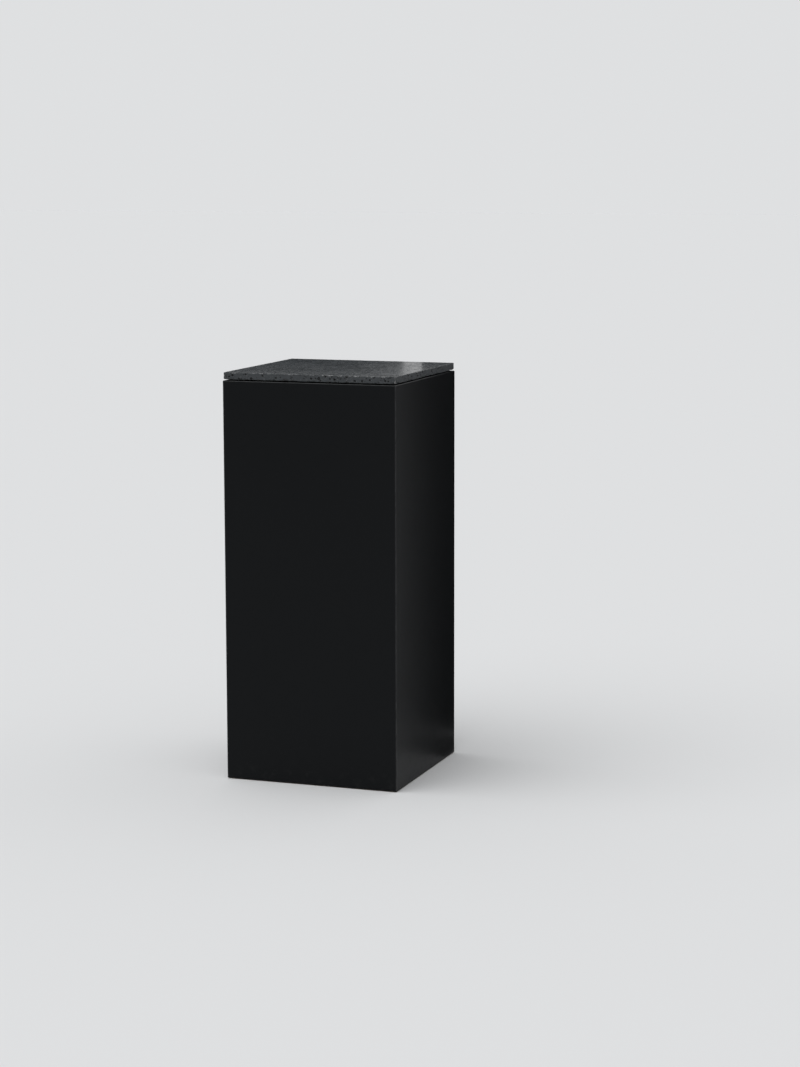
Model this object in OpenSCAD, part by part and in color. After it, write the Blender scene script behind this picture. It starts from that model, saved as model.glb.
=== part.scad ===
// Display plinth: a matt black joined box that stands on four hidden levelling feet and
// carries a loose cast slab on a shadow gap. Millimetres, +Z up, origin on the floor at the
// middle of the footprint, front towards -Y.

/* [Body] */
// Width of the box, left to right
body_w = 450; // [330:1:800]
// Depth of the box, front to back
body_d = 450; // [330:1:800]
// Height of the box's top edge above the floor
body_h = 1000; // [400:1:1400]
// Thickness of the wall panels
panel_t = 18; // [15:1:25]
// Gap between the panels' bottom edges and the floor
floor_gap = 2; // [1:0.5:6]
// Radius on the four vertical edges
side_arris_r = 1.2; // [0.5:0.1:4]
// Radius on the top outer edges
top_arris_r = 2.5; // [0.5:0.1:6]

/* [Slab] */
// Thickness of the loose slab
slab_t = 17; // [14:1:40]
// Open shadow gap between the box and the slab
slab_gap = 3; // [2:0.5:10]
// How far the slab's edge stands back from the box's face
slab_inset = 1; // [0:0.5:20]
// Radius of the slab's corners in plan
slab_corner_r = 3; // [1:0.5:12]
// Diameter of the rubber discs that the slab rests on
rest_disc_d = 30; // [15:1:50]
// Distance from the box's face to the centre of a rubber disc
rest_disc_in = 50; // [40:1:90]

/* [Slab pins] */
// Diameter of the steel pins that keep the slab in place
pin_d = 8; // [6:0.5:12]
// Height of a pin above the deck
pin_up = 11; // [6:0.5:13]
// Depth of a pin in the deck
pin_down = 12; // [8:1:14]
// Distance from a pin to the box's middle, along the width
pin_out = 120; // [60:1:140]
// Wall of the nylon cup that is set in the slab over each pin
cup_wall = 2; // [1:0.5:4]

/* [Deck] */
// Thickness of the deck board under the slab
deck_t = 18; // [15:1:25]
// Thickness of the cleats under the deck, across the wall
cleat_t = 22; // [18:1:34]
// Height of the cleats under the deck
cleat_h = 44; // [30:1:70]

/* [Inner frame] */
// Side of the square corner posts
post_s = 34; // [25:1:45]
// Thickness of the bulkhead at half height
bulkhead_t = 12; // [9:1:18]
// Depth of the grooves that hold the bulkhead in the walls
housing_depth = 6; // [3:1:9]
// Diameter of the air hole in the bulkhead
air_hole_d = 60; // [30:1:95]
// Thickness of the base rails, across the wall
rail_t = 22; // [18:1:34]

/* [Corner splines] */
// Thickness of the loose tongue in each mitred corner
spline_t = 4; // [3:0.5:6]
// Width of the loose tongue, across the joint
spline_w = 14; // [8:1:16]
// Distance from the inner corner to the tongue, along the mitre
spline_set = 9; // [7:0.5:12]
// Height left uncut above the tongue
spline_stop = 20; // [10:1:60]

/* [Levelling feet] */
// Side of the square blocks that hold the feet
block_s = 90; // [70:1:110]
// Height of the foot blocks and the base rails
block_h = 36; // [24:1:60]
// Diameter of a foot's pad
pad_d = 40; // [28:1:55]
// Height of a foot's pad
pad_h = 10; // [8:1:16]
// Bevel round the top of a foot's pad
pad_bevel = 3; // [1:0.5:5]
// Thread diameter of a foot's stud
stud_d = 10; // [8:1:12]
// Length of the stud above its hexagon
stud_len = 50; // [40:1:70]
// Lead-in cone at the stud's upper end
stud_lead = 1; // [0.5:0.1:2]
// Width across the flats of the stud's hexagon
hex_af = 17; // [15:1:22]
// Height of the stud's hexagon
hex_h = 6; // [4:1:10]
// Diameter of the stud's plain end, which turns in the pad
spigot_d = 8; // [5:0.5:9]
// Length of the stud's plain end
spigot_len = 5; // [3:0.5:6]
// Diameter of a tee nut's flange
nut_flange_d = 26; // [20:1:34]
// Thickness of a tee nut's flange
nut_flange_t = 1.5; // [1:0.1:3]
// Length of a tee nut's barrel
nut_barrel_len = 12; // [8:1:20]
// Wall of a tee nut's barrel
nut_wall = 1.2; // [0.8:0.1:2]

/* [Screws] */
// Diameter of the wood screws
screw_d = 4; // [3:0.5:5]
// Diameter of their countersunk heads
screw_head_d = 8; // [6:0.5:10]
// Depth that a screw reaches into the second piece
screw_bite = 12; // [8:1:13]
// Width of the six-sided drive in their heads, across the corners
screw_drive_d = 3.2; // [2:0.1:4]
// Distance from a cleat's or a rail's end to the screws that hold it to the wall
screw_end = 40; // [25:1:50]
// Distance from a cleat's end to the screws that come down through the deck
deck_screw_end = 80; // [60:1:110]

/* [Hidden] */
CORNERS = [["fl", -1, -1], ["fr", 1, -1], ["br", 1, 1], ["bl", -1, 1]];

// Facets of a round; every value above 12 stands for a true circle.
round_fn = 48;
// Overlap of a cutting shape past the face that it cuts.
cut = 1;

// Clearances, each on one side.
deck_fit = 0.3;     // deck to the walls
post_fit = 0.3;     // cleats, rails and bulkhead to the posts and blocks
groove_fit = 0.1;   // tongue or bulkhead to its groove
bore_fit = 0.05;    // pin, stud or sleeve to its bore
screw_fit = 0.05;   // screw to its hole
end_fit = 0.5;      // room past the end of a pin, spigot or screw

// The inner faces of the walls.
inner_x = body_w / 2 - panel_t;
inner_y = body_d / 2 - panel_t;

// Heights above the floor.
hex_top_z = pad_h + hex_h;
block_z = hex_top_z + nut_flange_t;
block_top_z = block_z + block_h;
deck_z = body_h - deck_t;
cleat_z = deck_z - cleat_h;
slab_z = body_h + slab_gap;
bulkhead_z = (block_top_z + deck_z - bulkhead_t) / 2;
spline_top_z = body_h - spline_stop;

// The foot axes, at the middle of their blocks.
foot_x = inner_x - block_s / 2;
foot_y = inner_y - block_s / 2;

// Nylon cup over a locating pin, and the hole for it in the slab.
cup_r = pin_d / 2 + bore_fit + cup_wall;
cup_h = pin_up - slab_gap + end_fit + cup_wall;

// Tee nut.
nut_bore_r = stud_d / 2 + bore_fit;
nut_barrel_r = nut_bore_r + nut_wall;

// Screws: the head's cone has a 90 degree angle, and the tip is a short cone.
screw_head_h = (screw_head_d - screw_d) / 2;
screw_tip_h = screw_d;

// ---------------------------------------------------------------- shared shapes

// What a round of radius r takes off a square corner that lies at the origin, seen in plan.
module corner_waste(r) {
    difference() {
        translate([-cut, -cut])
            square([r + cut, r + cut]);
        translate([r, r])
            circle(r, $fn = round_fn);
    }
}

// A square-edged outline with true round corners, centred on the origin.
module rounded_outline(w, d, r) {
    square([w - 2 * r, d], center = true);
    square([w, d - 2 * r], center = true);
    for (x = [-1, 1], y = [-1, 1])
        translate([x * (w / 2 - r), y * (d / 2 - r)])
            circle(r, $fn = round_fn);
}

// A countersunk wood screw that points down, its head's top at the origin.
// grow is added all round, for the hole that it sits in.
module screw(len, grow = 0) {
    head_r = screw_head_d / 2 + grow;
    body_r = screw_d / 2 + grow;
    body_len = len - screw_head_h - screw_tip_h;
    translate([0, 0, -screw_head_h])
        cylinder(h = screw_head_h, r1 = body_r, r2 = head_r, $fn = round_fn);
    translate([0, 0, -screw_head_h - body_len])
        cylinder(h = body_len, r = body_r, $fn = round_fn);
    translate([0, 0, -len])
        cylinder(h = screw_tip_h, r1 = grow, r2 = body_r, $fn = round_fn);
}

// The real screw, with a six-sided drive in its head.
module driven_screw(len) {
    difference() {
        screw(len);
        translate([0, 0, -screw_head_h])
            cylinder(h = screw_head_h + cut, d = screw_drive_d, $fn = 6);
    }
}

// The hole that a screw sits in, open above its head.
module screw_hole(len) {
    screw(len + end_fit, screw_fit);
    translate([0, 0, -screw_fit])
        cylinder(h = cut, r = screw_head_d / 2 + screw_fit, $fn = round_fn);
}

// Puts its children on the inner face of one wall: side 0 front, 1 right, 2 back, 3 left.
// In there x runs along the wall, y points into the box and z is up.
module on_wall(side) {
    rotate([0, 0, 90 * side])
        translate([0, -(side % 2 == 0 ? inner_y : inner_x), 0])
            children();
}

// Half the free length along a wall's inner face.
function wall_half(side) = side % 2 == 0 ? inner_x : inner_y;
function cleat_half(side) = wall_half(side) - post_s - post_fit;
function rail_half(side) = wall_half(side) - block_s - post_fit;

// ---------------------------------------------------------------- screw places

// Screws through a batten of thickness t into a wall: heads on the batten's inner face.
module batten_screw_places(side, half, t, z) {
    on_wall(side)
        for (x = [-1, 1])
            translate([x * (half - screw_end), t, z])
                rotate([-90, 0, 0])
                    children();
}

// Screws down through the deck into the cleats.
module deck_screw_places() {
    for (side = [0:3])
        on_wall(side)
            for (x = [-1, 1])
                translate([x * (cleat_half(side) - deck_screw_end), cleat_t / 2, body_h])
                    children();
}

// Screws up through the foot blocks into the posts: heads on the blocks' undersides.
module block_screw_places() {
    for (c = CORNERS)
        translate([c[1] * (inner_x - post_s / 2), c[2] * (inner_y - post_s / 2), block_z])
            rotate([180, 0, 0])
                children();
}

cleat_screw_z = cleat_z + cleat_h / 2;
rail_screw_z = block_z + block_h / 2;
deck_screw_len = deck_t + screw_bite;
cleat_screw_len = cleat_t + screw_bite;
rail_screw_len = rail_t + screw_bite;
block_screw_len = block_h + screw_bite;

// ---------------------------------------------------------------- box

// One wall: mitred at both ends, rounded along its top outer edge and both corners.
module wall_panel(side) {
    len = side % 2 == 0 ? body_w : body_d;
    face = side % 2 == 0 ? body_d / 2 : body_w / 2;
    rotate([0, 0, 90 * side])
        difference() {
            intersection() {
                translate([0, 0, floor_gap])
                    linear_extrude(body_h - floor_gap)
                        polygon([
                            [-len / 2, -face],
                            [len / 2, -face],
                            [len / 2 - panel_t, -face + panel_t],
                            [-len / 2 + panel_t, -face + panel_t]
                        ]);
                translate([-len / 2, 0, 0])
                    rotate([90, 0, 90])
                        linear_extrude(len)
                            difference() {
                                translate([-face, 0])
                                    square([panel_t, body_h]);
                                translate([-face, body_h])
                                    mirror([0, 1])
                                        corner_waste(top_arris_r);
                            }
            }
            for (x = [-1, 1])
                translate([x * len / 2, -face, 0])
                    mirror([x > 0 ? 1 : 0, 0, 0])
                        linear_extrude(body_h + cut)
                            corner_waste(side_arris_r);
        }
}

// A wall with everything that is cut in it.
module finished_wall(side) {
    color([0.11, 0.115, 0.12])
        difference() {
            wall_panel(side);
            for (c = CORNERS)
                spline_shape(c, groove_fit);
            bulkhead_plate(groove_fit);
            batten_screw_places(side, cleat_half(side), cleat_t, cleat_screw_z)
                screw_hole(cleat_screw_len);
            batten_screw_places(side, rail_half(side), rail_t, rail_screw_z)
                screw_hole(rail_screw_len);
        }
}

// The tongue in a mitred corner, set square across the joint. grow makes its groove.
module spline_shape(c, grow = 0) {
    set = spline_set * sqrt(0.5);
    translate([c[1] * (inner_x + set), c[2] * (inner_y + set), 0])
        rotate([0, 0, -45 * c[1] * c[2]])
            translate([-(spline_w / 2 + grow), -(spline_t / 2 + grow), floor_gap - (grow > 0 ? cut : 0)])
                cube([
                    spline_w + 2 * grow,
                    spline_t + 2 * grow,
                    spline_top_z - floor_gap + (grow > 0 ? cut + grow : 0)
                ]);
}

module spline(c) {
    color([0.62, 0.48, 0.3])
        spline_shape(c);
}

// ---------------------------------------------------------------- deck and frame

// The board that closes the box, flush with the walls' top edges.
module deck() {
    color([0.09, 0.09, 0.095])
        difference() {
            translate([-inner_x + deck_fit, -inner_y + deck_fit, deck_z])
                cube([2 * (inner_x - deck_fit), 2 * (inner_y - deck_fit), deck_t]);
            for (x = [-1, 1])
                translate([x * pin_out, 0, body_h - pin_down - end_fit])
                    cylinder(h = pin_down + end_fit + cut, r = pin_d / 2 + bore_fit, $fn = round_fn);
            deck_screw_places()
                screw_hole(deck_screw_len);
        }
}

module deck_cleat(side) {
    color([0.8, 0.66, 0.45])
        difference() {
            on_wall(side)
                translate([-cleat_half(side), 0, cleat_z])
                    cube([2 * cleat_half(side), cleat_t, cleat_h]);
            batten_screw_places(side, cleat_half(side), cleat_t, cleat_screw_z)
                screw_hole(cleat_screw_len);
            deck_screw_places()
                screw_hole(deck_screw_len);
        }
}

// A corner post, from its foot block up to the deck.
module post(c) {
    color([0.8, 0.66, 0.45])
        difference() {
            translate([
                c[1] * (inner_x - post_s / 2) - post_s / 2,
                c[2] * (inner_y - post_s / 2) - post_s / 2,
                block_top_z
            ])
                cube([post_s, post_s, deck_z - block_top_z]);
            block_screw_places()
                screw_hole(block_screw_len);
        }
}

// The bulkhead's plate, which stands in grooves in all four walls. grow makes the grooves.
module bulkhead_plate(grow = 0) {
    x = inner_x + housing_depth - end_fit + (grow > 0 ? end_fit : 0);
    y = inner_y + housing_depth - end_fit + (grow > 0 ? end_fit : 0);
    translate([-x, -y, bulkhead_z - grow])
        cube([2 * x, 2 * y, bulkhead_t + 2 * grow]);
}

// A stiffening board at half height, notched round the posts, with an air hole.
module bulkhead() {
    notch = post_s + post_fit + housing_depth + cut;
    color([0.72, 0.58, 0.38])
        difference() {
            bulkhead_plate();
            for (c = CORNERS)
                translate([
                    c[1] * (inner_x - post_s - post_fit + notch / 2) - notch / 2,
                    c[2] * (inner_y - post_s - post_fit + notch / 2) - notch / 2,
                    bulkhead_z - cut
                ])
                    cube([notch, notch, bulkhead_t + 2 * cut]);
            translate([0, 0, bulkhead_z - cut])
                cylinder(h = bulkhead_t + 2 * cut, d = air_hole_d, $fn = round_fn);
        }
}

module base_rail(side) {
    color([0.8, 0.66, 0.45])
        difference() {
            on_wall(side)
                translate([-rail_half(side), 0, block_z])
                    cube([2 * rail_half(side), rail_t, block_h]);
            batten_screw_places(side, rail_half(side), rail_t, rail_screw_z)
                screw_hole(rail_screw_len);
        }
}

// ---------------------------------------------------------------- levelling feet

module at_foot(c) {
    translate([c[1] * foot_x, c[2] * foot_y, 0])
        children();
}

// A block in the corner of the box, bored for the tee nut and the stud.
module foot_block(c) {
    color([0.72, 0.58, 0.38])
        difference() {
            at_foot(c)
                translate([-block_s / 2, -block_s / 2, block_z])
                    cube([block_s, block_s, block_h]);
            at_foot(c)
                translate([0, 0, block_z - cut])
                    cylinder(h = nut_barrel_len + end_fit + cut, r = nut_barrel_r + bore_fit, $fn = round_fn);
            at_foot(c)
                translate([0, 0, block_z])
                    cylinder(h = block_h + cut, r = stud_d / 2 + end_fit, $fn = round_fn);
            block_screw_places()
                screw_hole(block_screw_len);
        }
}

// A tee nut: its flange bears on the underside of the block.
module tee_nut() {
    difference() {
        union() {
            cylinder(h = nut_flange_t, d = nut_flange_d, $fn = round_fn);
            cylinder(h = nut_flange_t + nut_barrel_len, r = nut_barrel_r, $fn = round_fn);
        }
        translate([0, 0, -cut])
            cylinder(h = nut_flange_t + nut_barrel_len + 2 * cut, r = nut_bore_r, $fn = round_fn);
    }
}

module tee_nuts() {
    color([0.75, 0.75, 0.7])
        for (c = CORNERS)
            at_foot(c)
                translate([0, 0, hex_top_z])
                    tee_nut();
}

// A stud: a plain end in the pad, a hexagon for the spanner and the threaded length.
module foot_stud(c) {
    color([0.72, 0.73, 0.75])
        at_foot(c) {
            translate([0, 0, pad_h - spigot_len])
                cylinder(h = spigot_len, d = spigot_d, $fn = round_fn);
            translate([0, 0, pad_h])
                cylinder(h = hex_h, d = hex_af / cos(30), $fn = 6);
            translate([0, 0, hex_top_z])
                cylinder(h = stud_len - stud_lead, d = stud_d, $fn = round_fn);
            translate([0, 0, hex_top_z + stud_len - stud_lead])
                cylinder(h = stud_lead, d1 = stud_d, d2 = stud_d - 2 * stud_lead, $fn = round_fn);
        }
}

// A pad: a disc with a bevelled top edge and a blind socket for the stud's plain end.
module foot_pad(c) {
    color([0.13, 0.13, 0.135])
        at_foot(c)
            difference() {
                union() {
                    cylinder(h = pad_h - pad_bevel, d = pad_d, $fn = round_fn);
                    translate([0, 0, pad_h - pad_bevel])
                        cylinder(h = pad_bevel, d1 = pad_d, d2 = pad_d - 2 * pad_bevel, $fn = round_fn);
                }
                translate([0, 0, pad_h - spigot_len - end_fit])
                    cylinder(h = spigot_len + end_fit + cut, r = spigot_d / 2 + bore_fit, $fn = round_fn);
            }
}

// ---------------------------------------------------------------- slab

// Rubber discs on the deck: they set the shadow gap.
module rest_discs() {
    color([0.1, 0.1, 0.1])
        for (c = CORNERS)
            translate([c[1] * (body_w / 2 - rest_disc_in), c[2] * (body_d / 2 - rest_disc_in), body_h])
                cylinder(h = slab_gap, d = rest_disc_d, $fn = round_fn);
}

module locating_pins() {
    color([0.72, 0.73, 0.75])
        for (x = [-1, 1])
            translate([x * pin_out, 0, body_h - pin_down])
                cylinder(h = pin_down + pin_up, d = pin_d, $fn = round_fn);
}

// The cast slab, with two blind holes in its underside for the nylon cups.
module top_slab() {
    color([0.3, 0.31, 0.32])
        difference() {
            translate([0, 0, slab_z])
                linear_extrude(slab_t)
                    rounded_outline(body_w - 2 * slab_inset, body_d - 2 * slab_inset, slab_corner_r);
            for (x = [-1, 1])
                translate([x * pin_out, 0, slab_z - cut])
                    cylinder(h = cup_h + end_fit + cut, r = cup_r + bore_fit, $fn = round_fn);
        }
}

// Nylon cups, set flush in the slab's underside.
module slab_cups() {
    color([0.85, 0.85, 0.82])
        for (x = [-1, 1])
            translate([x * pin_out, 0, slab_z])
                difference() {
                    cylinder(h = cup_h, r = cup_r, $fn = round_fn);
                    translate([0, 0, -cut])
                        cylinder(h = cup_h - cup_wall + cut, r = pin_d / 2 + bore_fit, $fn = round_fn);
                }
}

// ---------------------------------------------------------------- screws

module deck_screws() {
    color([0.7, 0.62, 0.35])
        deck_screw_places()
            driven_screw(deck_screw_len);
}

module cleat_screws() {
    color([0.7, 0.62, 0.35])
        for (side = [0:3])
            batten_screw_places(side, cleat_half(side), cleat_t, cleat_screw_z)
                driven_screw(cleat_screw_len);
}

module rail_screws() {
    color([0.7, 0.62, 0.35])
        for (side = [0:3])
            batten_screw_places(side, rail_half(side), rail_t, rail_screw_z)
                driven_screw(rail_screw_len);
}

module block_screws() {
    color([0.7, 0.62, 0.35])
        block_screw_places()
            driven_screw(block_screw_len);
}

// ---------------------------------------------------------------- output

finished_wall(0);  // front_panel
finished_wall(1);  // right_panel
finished_wall(2);  // back_panel
finished_wall(3);  // left_panel
spline(CORNERS[0]);  // spline_fl
spline(CORNERS[1]);  // spline_fr
spline(CORNERS[2]);  // spline_br
spline(CORNERS[3]);  // spline_bl
deck();
deck_cleat(0);  // deck_cleat_front
deck_cleat(1);  // deck_cleat_right
deck_cleat(2);  // deck_cleat_back
deck_cleat(3);  // deck_cleat_left
post(CORNERS[0]);  // post_fl
post(CORNERS[1]);  // post_fr
post(CORNERS[2]);  // post_br
post(CORNERS[3]);  // post_bl
bulkhead();
base_rail(0);  // base_rail_front
base_rail(1);  // base_rail_right
base_rail(2);  // base_rail_back
base_rail(3);  // base_rail_left
foot_block(CORNERS[0]);  // foot_block_fl
foot_block(CORNERS[1]);  // foot_block_fr
foot_block(CORNERS[2]);  // foot_block_br
foot_block(CORNERS[3]);  // foot_block_bl
tee_nuts();
foot_stud(CORNERS[0]);  // foot_stud_fl
foot_stud(CORNERS[1]);  // foot_stud_fr
foot_stud(CORNERS[2]);  // foot_stud_br
foot_stud(CORNERS[3]);  // foot_stud_bl
foot_pad(CORNERS[0]);  // foot_pad_fl
foot_pad(CORNERS[1]);  // foot_pad_fr
foot_pad(CORNERS[2]);  // foot_pad_br
foot_pad(CORNERS[3]);  // foot_pad_bl
rest_discs();
locating_pins();
deck_screws();
cleat_screws();
rail_screws();
block_screws();
top_slab();
slab_cups();
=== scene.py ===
# %% [markdown]
# # A display plinth with a loose cast slab
#
# The object is a tall square box of fibreboard, sprayed deep matt black, which carries a
# thin slab of dark concrete on a three-millimetre shadow gap. It is plain from a distance,
# so everything that makes it look real is small: the rounded edge that catches the light,
# the air holes and broken corners of the casting, and the timber and fixings inside.
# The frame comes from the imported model, and each piece is placed by asking it for sizes.

# %% Load the frame
import math

import bmesh
import bpy
import numpy as np
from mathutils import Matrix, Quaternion, Vector, noise
from mathutils.geometry import delaunay_2d_cdt


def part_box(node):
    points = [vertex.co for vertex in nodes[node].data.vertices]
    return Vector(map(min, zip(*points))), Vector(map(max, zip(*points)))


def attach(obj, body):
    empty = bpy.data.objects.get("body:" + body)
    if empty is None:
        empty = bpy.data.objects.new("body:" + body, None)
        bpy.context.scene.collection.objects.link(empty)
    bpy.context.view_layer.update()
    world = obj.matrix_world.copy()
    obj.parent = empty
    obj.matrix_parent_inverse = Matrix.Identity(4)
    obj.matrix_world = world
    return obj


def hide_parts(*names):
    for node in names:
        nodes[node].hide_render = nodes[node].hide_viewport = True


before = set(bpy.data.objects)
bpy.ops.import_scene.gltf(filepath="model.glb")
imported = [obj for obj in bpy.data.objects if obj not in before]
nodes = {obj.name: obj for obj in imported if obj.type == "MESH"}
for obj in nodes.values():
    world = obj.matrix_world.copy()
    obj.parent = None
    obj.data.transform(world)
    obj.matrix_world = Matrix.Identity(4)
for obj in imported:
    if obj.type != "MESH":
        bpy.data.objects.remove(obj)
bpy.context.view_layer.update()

MM = 0.001
CORNERS = ("fl", "fr", "br", "bl")

# %% [markdown]
# ## The camera
#
# The camera stands well back with a long lens, so that the box's upright edges stay nearly
# parallel. It is at eye height, a little to the right of the front, and looks slightly
# down, which shows a thin sliver of the slab's top. A lens could be given as a field of
# view too, but millimetres are what is engraved on a real one.

# %% Make the camera
def add_object(name, data):
    """A new object in the scene."""
    made = bpy.data.objects.new(name, data)
    bpy.context.scene.collection.objects.link(made)
    return made


camera_place = Vector((2.263, -5.935, 1.545))
camera_azimuth = math.radians(19.55)
camera_pitch = math.radians(8.47)
camera_roll = math.radians(-0.13)

camera_data = bpy.data.cameras.new("camera")
camera_data.lens = 85.7
camera_data.sensor_width = 36.0
camera_data.clip_end = 200.0
camera = add_object("camera", camera_data)
forward = Vector((
    -math.sin(camera_azimuth) * math.cos(camera_pitch),
    math.cos(camera_azimuth) * math.cos(camera_pitch),
    -math.sin(camera_pitch),
))
camera.rotation_mode = "QUATERNION"
camera.location = camera_place
camera.rotation_quaternion = forward.to_track_quat("-Z", "Y") @ Quaternion((0, 0, 1), camera_roll)
bpy.context.scene.camera = camera
bpy.context.scene.view_settings.view_transform = "Standard"
print("camera at", tuple(round(v, 3) for v in camera_place))

# %% [markdown]
# ## Helpers for node trees
#
# A material is a graph of nodes. Writing one link by link gets long, so a few small
# functions do the wiring: `put` makes a node and fills its inputs, `maths` makes a Math
# node, `smooth_step` maps one range of numbers to another, and `blend_colour` mixes two
# colours. An input takes either a plain value or the output of another node.

# %% Wiring helpers
def plug(tree, socket, value):
    """Links value to socket if it is another node's output, or else writes it there."""
    if isinstance(value, bpy.types.NodeSocket):
        tree.links.new(value, socket)
    else:
        socket.default_value = value


def put(tree, kind, settings=None, **inputs):
    """Makes a node, sets its properties, and fills the inputs that are named."""
    made = tree.nodes.new(kind)
    for name, value in (settings or {}).items():
        setattr(made, name, value)
    for name, value in inputs.items():
        plug(tree, made.inputs[name.replace("_", " ")], value)
    return made


def maths(tree, operation, *values, clamp=False):
    """One Math node, and its output."""
    made = put(tree, "ShaderNodeMath", {"operation": operation, "use_clamp": clamp})
    for socket, value in zip(made.inputs, values):
        plug(tree, socket, value)
    return made.outputs[0]


def smooth_step(tree, value, low, high, to_low=0.0, to_high=1.0):
    """Maps value from low..high to to_low..to_high with soft ends."""
    made = put(
        tree,
        "ShaderNodeMapRange",
        {"interpolation_type": "SMOOTHSTEP"},
        Value=value,
        From_Min=low,
        From_Max=high,
        To_Min=to_low,
        To_Max=to_high,
    )
    return made.outputs["Result"]


def blend_colour(tree, factor, first, second):
    """One colour Mix node, and its output."""
    made = put(tree, "ShaderNodeMix", {"data_type": "RGBA"})
    plug(tree, made.inputs["Factor"], factor)
    plug(tree, made.inputs[6], first)
    plug(tree, made.inputs[7], second)
    return made.outputs[2]


def grey(level, warmth=0.0):
    """A near-grey colour; warmth above 0 leans to brown and below 0 to blue."""
    return (level * (1 + warmth), level, level * (1 - warmth), 1.0)


# %% [markdown]
# ## The stage
#
# The background is a pale seamless studio. A curved backdrop would get in the way when the
# camera walks round the object, so a very large floor runs to the horizon and the sky has
# the same pale grey, which hides the join. Only the camera sees that pale sky. Light and
# reflections come from a second sky, bright behind the object and dark in front, as in a
# studio where the lamps are on the set and the camera stands in the dark. The floor throws
# less light back at the object than the camera sees on it, so the black walls stay deep.

# %% Sky
sky = bpy.data.worlds.new("studio")
bpy.context.scene.world = sky
sky.use_nodes = True
tree = sky.node_tree
tree.nodes.clear()
SKY_SEEN = grey(0.746, -0.012)
SKY_BEHIND = grey(0.62)
SKY_BEFORE = grey(0.07)
SKY_ABOVE = grey(0.75)
toward_sky = put(tree, "ShaderNodeTexCoord").outputs["Generated"]
direction = put(tree, "ShaderNodeSeparateXYZ", Vector=toward_sky)
backness = smooth_step(tree, direction.outputs["Y"], -0.25, 0.75)
highness = smooth_step(tree, direction.outputs["Z"], 0.25, 0.8)
around = blend_colour(tree, backness, SKY_BEFORE, SKY_BEHIND)
above_floor = maths(tree, "GREATER_THAN", direction.outputs["Z"], 0.0)
lighting = put(
    tree,
    "ShaderNodeBackground",
    Color=blend_colour(tree, highness, around, SKY_ABOVE),
    Strength=above_floor,
)
seen = put(tree, "ShaderNodeBackground", Color=SKY_SEEN)
chooser = put(tree, "ShaderNodeMixShader")
plug(tree, chooser.inputs["Fac"], put(tree, "ShaderNodeLightPath").outputs["Is Camera Ray"])
plug(tree, chooser.inputs[1], lighting.outputs[0])
plug(tree, chooser.inputs[2], seen.outputs[0])
put(tree, "ShaderNodeOutputWorld", Surface=chooser.outputs[0])

# %% Floor
FLOOR_HALF = 60.0
FLOOR_SEEN = grey(0.745, -0.012)
FLOOR_BOUNCE = grey(0.36)
floor_data = bpy.data.meshes.new("floor")
floor_data.from_pydata(
    [(x * FLOOR_HALF, y * FLOOR_HALF, 0.0) for x, y in ((-1, -1), (1, -1), (1, 1), (-1, 1))],
    [],
    [(0, 1, 2, 3)],
)
floor = add_object("floor", floor_data)
paper = bpy.data.materials.new("backdrop paper")
paper.use_nodes = True
tree = paper.node_tree
tree.nodes.clear()
path = put(tree, "ShaderNodeLightPath")
tone = blend_colour(tree, path.outputs["Is Diffuse Ray"], FLOOR_SEEN, FLOOR_BOUNCE)
diffuse = put(tree, "ShaderNodeBsdfDiffuse", Color=tone)
clear = put(tree, "ShaderNodeBsdfTransparent")
sides = put(tree, "ShaderNodeMixShader")
plug(tree, sides.inputs["Fac"], put(tree, "ShaderNodeNewGeometry").outputs["Backfacing"])
plug(tree, sides.inputs[1], diffuse.outputs[0])
plug(tree, sides.inputs[2], clear.outputs[0])
put(tree, "ShaderNodeOutputMaterial", Surface=sides.outputs[0])
floor_data.materials.append(paper)
floor.visible_shadow = False
print("floor half width, m:", FLOOR_HALF)

# %% [markdown]
# ## Light
#
# One very large soft light stands high, in front and to the left. An area lamp would be
# brightest close by, but a sun lamp with a wide angle has the same strength all over the
# floor, so the floor keeps one tone up to the horizon, and the shadow falls softly to the
# right and back. The floor is clear from below and stops no light, so a second sun that
# shines straight up shows the underside to a camera that is put down there. Nothing that
# is seen from above faces it.

# %% Key light
def sun(name, azimuth, elevation, strength, softness):
    """A sun lamp that shines from azimuth (0 is the front, clockwise from above) and elevation."""
    data = bpy.data.lights.new(name, "SUN")
    data.energy = strength
    data.angle = math.radians(softness)
    lamp = add_object(name, data)
    a, e = math.radians(azimuth), math.radians(elevation)
    toward = Vector((-math.sin(a) * math.cos(e), -math.cos(a) * math.cos(e), math.sin(e)))
    lamp.rotation_mode = "QUATERNION"
    lamp.rotation_quaternion = toward.to_track_quat("Z", "Y")
    print("lamp:", name, "strength", strength)


sun("key", azimuth=38, elevation=58, strength=1.42, softness=70)
sun("from beneath", azimuth=0, elevation=-90, strength=1.2, softness=8)
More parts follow.
